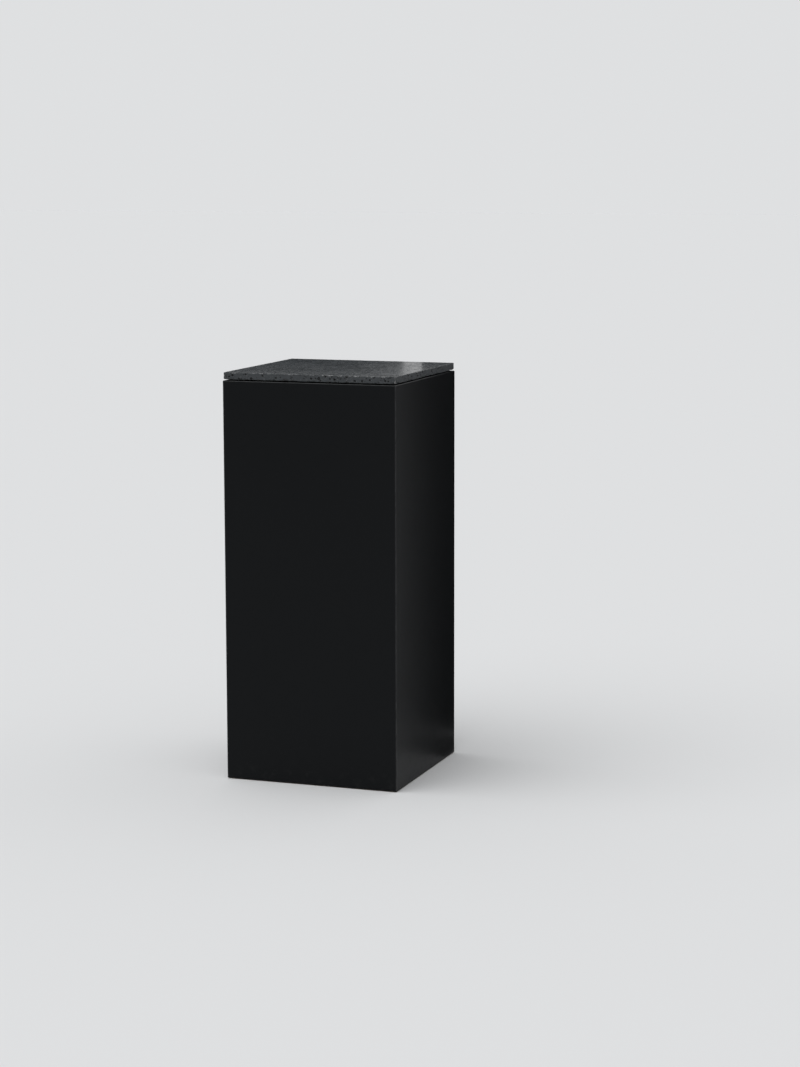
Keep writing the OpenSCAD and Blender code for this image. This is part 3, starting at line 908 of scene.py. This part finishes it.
def bite(centre, radius, pale, dark, ragged):
    """Moves every point inside a ball straight in until it is outside, and notes its tone."""
    offset = points - centre
    reach = radius + ragged * fine
    squares = (offset ** 2).sum(1)
    rim = squares < (reach * RIM_REACH) ** 2
    # Painted highlight round an air hole's rim.
    pale_chips_and_highlight[rim] = np.maximum(pale_chips_and_highlight[rim], HOLE_RIM_HIGHLIGHT * dark)
    near = squares < reach ** 2
    if not near.any():
        return 0.0
    ahead = (offset[near] * normals[near]).sum(1)
    inside = ahead ** 2 - squares[near] + reach[near] ** 2
    cut = ahead + np.sqrt(np.maximum(inside, 0.0))
    deeper = cut > depth[near]
    index = np.flatnonzero(near)[deeper]
    depth[index] = cut[deeper]
    strength = np.clip(cut[deeper] / FULL_TONE_DEPTH, 0.0, 1.0)
    # pale: fresh stone made paler as a painted highlight; dark: painted shade inside a hole.
    pale_chips_and_highlight[index] = pale * strength
    hole_shade[index] = dark * strength
    return float(cut.max())


# %% Break the arrises
CHIP_RAGGED = 0.35 * MM
CHIP_LEAN = (0.35, 0.65)
MOSTLY_SMALL = 2.2


def spot_on_arris(z_side):
    """A random point on the top arris (z_side 1) or the low one (-1), and the way out of it."""
    column = rng.integers(columns)
    out = np.array([*outward[column], 0.0])
    level = slab_top if z_side > 0 else slab_bottom
    corner = np.array([*outline[column], level])
    lean = rng.uniform(*CHIP_LEAN) * math.pi / 2
    way = out * math.sin(lean) + np.array([0, 0, z_side]) * math.cos(lean)
    return corner, way


def break_arris(z_side, count, radii, depths, paleness_and_highlight):
    """Chips from the smallest to the largest radius and depth in mm; returns the deepest."""
    small, large = radii[0] * MM, radii[1] * MM
    shallow, deep = depths[0] * MM, depths[1] * MM
    deepest = 0.0
    for _ in range(count):
        corner, way = spot_on_arris(z_side)
        size = rng.random() ** MOSTLY_SMALL
        radius = small + (large - small) * size
        bite_depth = shallow + (deep - shallow) * size * rng.uniform(0.6, 1.0)
        pale = rng.uniform(*paleness_and_highlight)
        centre = corner + way * (radius - bite_depth - 0.3 * ARRIS_R)
        deepest = max(deepest, bite(centre, radius, pale, 0.0, ragged=CHIP_RAGGED))
    return deepest


# Which arris (1 top, -1 low), how many, radii in mm, depths in mm, and how pale: pale stone and
# painted highlight.
BREAKS = {
    "top arris": (1, 380, (1.4, 7.0), (0.5, 2.1), (0.0, 0.45)),
    "pale chips and painted glints": (1, 170, (0.9, 1.9), (0.5, 0.9), (0.6, 1.0)),
    "low arris": (-1, 300, (1.8, 8.0), (0.5, 2.6), (0.0, 0.25)),
    "large notches": (-1, 16, (7.0, 12.0), (2.8, 4.8), (0.0, 0.2)),
}
for kind, chips in BREAKS.items():
    deepest = break_arris(*chips)
    print(kind + ", deepest, mm:", round(deepest / MM, 2))

# %% Air holes and the worn corners
HOLES = 520
HOLE_RAGGED = 0.30 * MM
SMALLEST_HOLE = 0.7 * MM
HOLE_SPREAD = 2.4 * MM
CORNER_BITES = 5
DEEPEST = 5.0 * MM
side_index = np.flatnonzero(np.abs(normals[:, 2]) < FACES_UP_OR_DOWN)
hole_radius = SMALLEST_HOLE + HOLE_SPREAD * rng.random(HOLES) ** 1.6
# Each air hole gets painted shade inside and a faint painted highlight round its rim.
for radius, index in zip(hole_radius, rng.choice(side_index, HOLES, replace=False)):
    centre = points[index] + normals[index] * radius * rng.uniform(0.0, 0.35)
    bite(centre, radius, 0.0, 1.0, ragged=HOLE_RAGGED)
diagonal = slab_half - CORNER_R * (1 - math.sqrt(0.5))
# The worn corners turn pale: fresh stone with a painted highlight.
for x, y in ((-1, -1), (1, -1), (1, 1), (-1, 1)):
    for _ in range(CORNER_BITES):
        level = rng.uniform(slab_bottom, slab_top)
        radius = rng.uniform(4, 9) * MM
        worn = rng.uniform(0.4, 1.4) * MM
        reach = diagonal + (radius - worn) * math.sqrt(0.5)
        centre = np.array([x * reach, y * reach, level])
        bite(centre, radius, rng.uniform(0.1, 0.7), 0.0, ragged=CHIP_RAGGED)
depth = np.minimum(depth, DEEPEST).reshape(rows, columns)
depth[0] = 0.0
depth[-1] = 0.0
place = place - normal * depth[:, :, None]
pale_chips_and_highlight = pale_chips_and_highlight.reshape(rows, columns)
hole_shade = hole_shade.reshape(rows, columns)
print("air holes:", HOLES, "largest radius, mm:", round(float(hole_radius.max()) / MM, 2))

# %% [markdown]
# ## The slab in one piece
#
# The middle of the top and of the underside is flat, so it needs no grid. It is filled with
# triangles between the rims of the edge band, of the small pits in the top, and of the two
# holes in the underside that hold the nylon cups. The ready-made fill of a loop with many
# holes sometimes gives up, so this uses a Delaunay triangulation, which never does.

# %% Loops of vertices
def ring(shape, centre, radius, z, sides, uneven=None):
    """A loop of new vertices; uneven scales the radius at each of them."""
    found = []
    for i in range(sides):
        a = 2 * math.pi * i / sides
        r = radius * (uneven[i] if uneven is not None else 1.0)
        found.append(shape.verts.new((centre[0] + r * math.cos(a), centre[1] + r * math.sin(a), z)))
    return found


def join_rings(shape, first, second):
    """Quads between two loops of the same length."""
    for i in range(len(first)):
        j = (i + 1) % len(first)
        shape.faces.new((first[i], first[j], second[j], second[i]))


# %% Fill between loops
ONLY_INSIDE = 1
SAME_POINT = 1e-7


def encloses(loop, x, y):
    """True if the point lies inside the loop, seen from above."""
    inside = False
    for i, vertex in enumerate(loop):
        a, b = vertex.co, loop[i - 1].co
        if (a.y > y) != (b.y > y) and x < (b.x - a.x) * (y - a.y) / (b.y - a.y) + a.x:
            inside = not inside
    return inside


def fill_between(shape, outer, holes):
    """Fills the flat area between an outer loop and the holes in it with triangles."""
    vertices = list(outer)
    owner = [None] * len(outer)
    edges = []
    for hole in holes:
        first = len(vertices)
        vertices.extend(hole)
        owner.extend([hole] * len(hole))
        edges.extend((first + i, first + (i + 1) % len(hole)) for i in range(len(hole)))
    flat = [vertex.co.xy for vertex in vertices]
    boundary = [list(range(len(outer)))]
    made = delaunay_2d_cdt(flat, edges, boundary, ONLY_INSIDE, SAME_POINT, True)
    triangles, came_from = made[2], made[3]
    for corners in triangles:
        index = [came_from[corner][0] for corner in corners]
        loop = owner[index[0]]
        if loop is not None and all(owner[i] is loop for i in index):
            middle = sum((flat[i] for i in index), Vector((0, 0))) / 3
            if encloses(loop, middle.x, middle.y):
                continue
        shape.faces.new([vertices[i] for i in index])


# %% Pits in the top, and holes for the cups
PITS = 560
PIT_SIDES = 12
SMALLEST_PIT = 0.5 * MM
PIT_SPREAD = 2.1 * MM
PIT_MARGIN = 3 * MM
PIT_SPACING = 1.5 * MM
PIT_UNEVEN = 0.22
PIT_WAIST, PIT_WAIST_DEPTH, PIT_DEPTH = 0.74, 0.55, 0.8
CUP_SIDES = 48
CUP_ROOM_ROUND = 0.05 * MM
CUP_ROOM_ABOVE = 0.5 * MM


def pit_places():
    """Pits spread over the top, none touching another or the edge band."""
    limit = slab_half - BAND - PIT_MARGIN
    chosen = []
    while len(chosen) < PITS:
        radius = SMALLEST_PIT + PIT_SPREAD * rng.random() ** 1.9
        x, y = rng.uniform(-limit, limit, 2)
        if all(math.hypot(x - a, y - b) > radius + c + PIT_SPACING for a, b, c in chosen):
            chosen.append((x, y, radius))
    return chosen


def add_pit(shape, x, y, radius, hole_shade_layer):
    """A small uneven bowl in the top; returns its rim."""
    uneven = 1 + PIT_UNEVEN * (rng.random(PIT_SIDES) - 0.5)
    rim = ring(shape, (x, y), radius, slab_top, PIT_SIDES, uneven)
    waist_z = slab_top - radius * PIT_WAIST_DEPTH
    middle = ring(shape, (x, y), radius * PIT_WAIST, waist_z, PIT_SIDES, uneven)
    bottom = shape.verts.new((x, y, slab_top - radius * PIT_DEPTH))
    # The inside of the pit is marked for painted shade.
    for vertex in (*middle, bottom):
        vertex[hole_shade_layer] = 1.0
    join_rings(shape, rim, middle)
    for i in range(PIT_SIDES):
        shape.faces.new((middle[i], middle[(i + 1) % PIT_SIDES], bottom))
    return rim


def add_cup_hole(shape, x):
    """The hole for one nylon cup, a hair wider and deeper than the cup; returns its rim."""
    low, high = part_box("slab_cups")
    radius = (high.y - low.y) / 2 + CUP_ROOM_ROUND
    mouth = ring(shape, (x, 0.0), radius, slab_bottom, CUP_SIDES)
    roof = ring(shape, (x, 0.0), radius, high.z + CUP_ROOM_ABOVE, CUP_SIDES)
    join_rings(shape, mouth, roof)
    shape.faces.new(roof)
    return mouth


# %% Build the slab
def mesh_object(shape, name, material, sharp_degrees):
    """Turns a shape into an object with smooth faces, and sharp edges over the given angle."""
    bmesh.ops.recalc_face_normals(shape, faces=shape.faces)
    data = bpy.data.meshes.new(name)
    shape.to_mesh(data)
    shape.free()
    data.shade_smooth()
    data.set_sharp_from_angle(angle=math.radians(sharp_degrees))
    data.materials.append(material)
    return add_object(name, data)


def make_slab():
    """The edge grid, the flat faces, the pits and the cup holes, as one closed mesh."""
    shape = bmesh.new()
    pale_chips_and_highlight_layer = shape.verts.layers.float.new("pale_chips_and_highlight")
    hole_shade_layer = shape.verts.layers.float.new("hole_shade")
    grid = [[shape.verts.new(p) for p in row] for row in place]
    for r in range(rows):
        for c in range(columns):
            grid[r][c][pale_chips_and_highlight_layer] = float(pale_chips_and_highlight[r, c])
            grid[r][c][hole_shade_layer] = float(hole_shade[r, c])
    for r in range(rows - 1):
        join_rings(shape, grid[r], grid[r + 1])
    pits = [add_pit(shape, x, y, radius, hole_shade_layer) for x, y, radius in pit_places()]
    fill_between(shape, grid[0], pits)
    low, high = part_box("slab_cups")
    cup_x = high.x - (high.y - low.y) / 2
    fill_between(shape, grid[-1], [add_cup_hole(shape, side * cup_x) for side in (-1, 1)])
    return mesh_object(shape, "cast_slab", CONCRETE, sharp_degrees=38)


slab = make_slab()
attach(slab, "slab")
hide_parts("top_slab")
triangles = sum(len(face.vertices) - 2 for face in slab.data.polygons)
print("slab:", len(slab.data.vertices), "vertices,", triangles, "triangles")

# %% [markdown]
# ## Threaded studs
#
# Each foot turns on a threaded stud with a hexagon for a spanner. A thread could be a Screw
# modifier on a profile, but its ends would stay open. Here the stud is a stack of rings,
# and each point's radius comes from its height and angle: round on the plain end, flat on
# the hexagon, and a slanted wave on the thread. That closes neatly and can run out softly.

# %% Radius of a stud at a height and an angle
PITCH = 1.5 * MM
THREAD_DEPTH = 0.9 * MM
STUD_R = 5.0 * MM
SPIGOT_R = 4.0 * MM
HEX_HALF_FLATS = 8.5 * MM
HEX_H = 6.0 * MM
LEAD = 1.0 * MM
RUN_OUT = 2.0 * MM
STUD_SIDES = 36
RINGS_PER_PITCH = 6
SPIGOT_CHAMFER = 0.4 * MM
FLANK_SLOPE, CREST_FLAT = 2.2, 0.1
HEX_END = HEX_HALF_FLATS * 1.02
HEX_STEPS = (0.0, 0.08, 0.18, 0.5, 0.82, 0.92, 1.0)


def thread_radius(z, angle, start, end):
    """Radius of the thread that runs from start to end, shallow at both."""
    turn = (z / PITCH - angle / (2 * math.pi)) % 1.0
    wave = min(1.0, max(0.0, FLANK_SLOPE * abs(turn - 0.5) - CREST_FLAT))
    depth = THREAD_DEPTH * min(1.0, max(0.0, (z - start) / RUN_OUT))
    lead = LEAD * max(0.0, 1 - (end - z) / LEAD)
    return min(STUD_R - depth * wave, STUD_R - lead)


def hexagon_radius(z, angle, start):
    """Radius of the hexagon, with its corners turned off at both ends."""
    across = (angle + math.pi / 6) % (math.pi / 3) - math.pi / 6
    from_end = min(z - start, start + HEX_H - z)
    return min(HEX_HALF_FLATS / math.cos(across), HEX_END + from_end * math.sqrt(3))


def stud_levels(bottom, hex_z, thread_z, top):
    """Heights of the rings, doubled where the section changes at a step."""
    levels = [(z, "spigot") for z in (bottom, bottom + SPIGOT_CHAMFER, hex_z)]
    levels += [(hex_z + HEX_H * share, "hexagon") for share in HEX_STEPS]
    count = int((top - thread_z) / PITCH * RINGS_PER_PITCH)
    return levels + [(thread_z + (top - thread_z) * i / count, "thread") for i in range(count + 1)]


# %% Build the studs
def make_stud(corner):
    """The stud of one corner's foot, in the place of the plain one."""
    node = "foot_stud_" + corner
    low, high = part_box(node)
    middle = (low + high) / 2
    hex_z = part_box("foot_pad_" + corner)[1].z
    thread_z = hex_z + HEX_H
    shape = bmesh.new()
    loops = []
    for z, kind in stud_levels(low.z, hex_z, thread_z, high.z):
        loop = []
        for i in range(STUD_SIDES):
            angle = 2 * math.pi * i / STUD_SIDES
            radius = SPIGOT_R - (SPIGOT_CHAMFER if z == low.z else 0.0)
            if kind == "hexagon":
                radius = hexagon_radius(z, angle, hex_z)
            if kind == "thread":
                radius = thread_radius(z, angle, thread_z, high.z)
            x, y = middle.x + radius * math.cos(angle), middle.y + radius * math.sin(angle)
            loop.append(shape.verts.new((x, y, z)))
        if loops:
            join_rings(shape, loops[-1], loop)
        loops.append(loop)
    shape.faces.new(loops[0])
    shape.faces.new(loops[-1])
    stud = mesh_object(shape, "threaded_stud_" + corner, ZINC, sharp_degrees=35)
    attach(stud, "stud_" + corner)
    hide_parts(node)
    return stud


for corner in CORNERS:
    stud = make_stud(corner)
    size = [round(v / MM, 2) for v in stud.dimensions]
    print(stud.name, "faces:", len(stud.data.polygons), "size, mm:", size)

# %% [markdown]
# ## The walls' two finishes
#
# Each wall is one board, lacquered outside and along its top edge, and bare inside. One
# object can carry several materials: every face holds the number of its own, and the way
# that the face points tells which it gets. The shape of the board stays as it is.

# %% Finish the walls
TOP_EDGE_DEPTH = 2 * MM


def finish_wall(wall):
    """Lacquer on the faces that look outward or up from the top edge, bare board elsewhere."""
    low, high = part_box(wall.name)
    middle = (low + high) / 2
    outward = Vector((middle.x, middle.y, 0)).normalized()
    wall.data.materials.clear()
    wall.data.materials.append(LACQUER)
    wall.data.materials.append(BARE_BOARD)
    for face in wall.data.polygons:
        seen_outside = face.normal.dot(outward) > 0.05
        top_edge = face.normal.z > 0.5 and face.center.z > high.z - TOP_EDGE_DEPTH
        face.material_index = 0 if seen_outside or top_edge else 1
    return sum(face.material_index == 0 for face in wall.data.polygons)


for side in ("front", "right", "back", "left"):
    print(side, "lacquered faces:", finish_wall(nodes[side + "_panel"]))

# %% [markdown]
# ## Every other piece its finish
#
# Pieces of the same stuff share a material. The pine pieces differ only in the direction
# of their grain: cleats and rails along their wall, posts upright.

# %% Finish the other pieces
FINISHES = {
    "deck": BLACK_BOARD,
    "bulkhead": PLY,
    "tee_nuts": ZINC,
    "locating_pins": ZINC,
    "rest_discs": RUBBER,
    "slab_cups": WHITE_NYLON,
    "deck_screws": YELLOW_ZINC,
    "cleat_screws": YELLOW_ZINC,
    "rail_screws": YELLOW_ZINC,
    "block_screws": YELLOW_ZINC,
}
for side, grain in {"front": "x", "back": "x", "left": "y", "right": "y"}.items():
    FINISHES["deck_cleat_" + side] = PINE[grain]
    FINISHES["base_rail_" + side] = PINE[grain]
for corner in CORNERS:
    FINISHES["spline_" + corner] = PLY
    FINISHES["post_" + corner] = PINE["z"]
    FINISHES["foot_block_" + corner] = PLY
    FINISHES["foot_pad_" + corner] = BLACK_NYLON
for name, finish in FINISHES.items():
    nodes[name].data.materials.clear()
    nodes[name].data.materials.append(finish)
print("finished nodes:", len(FINISHES))
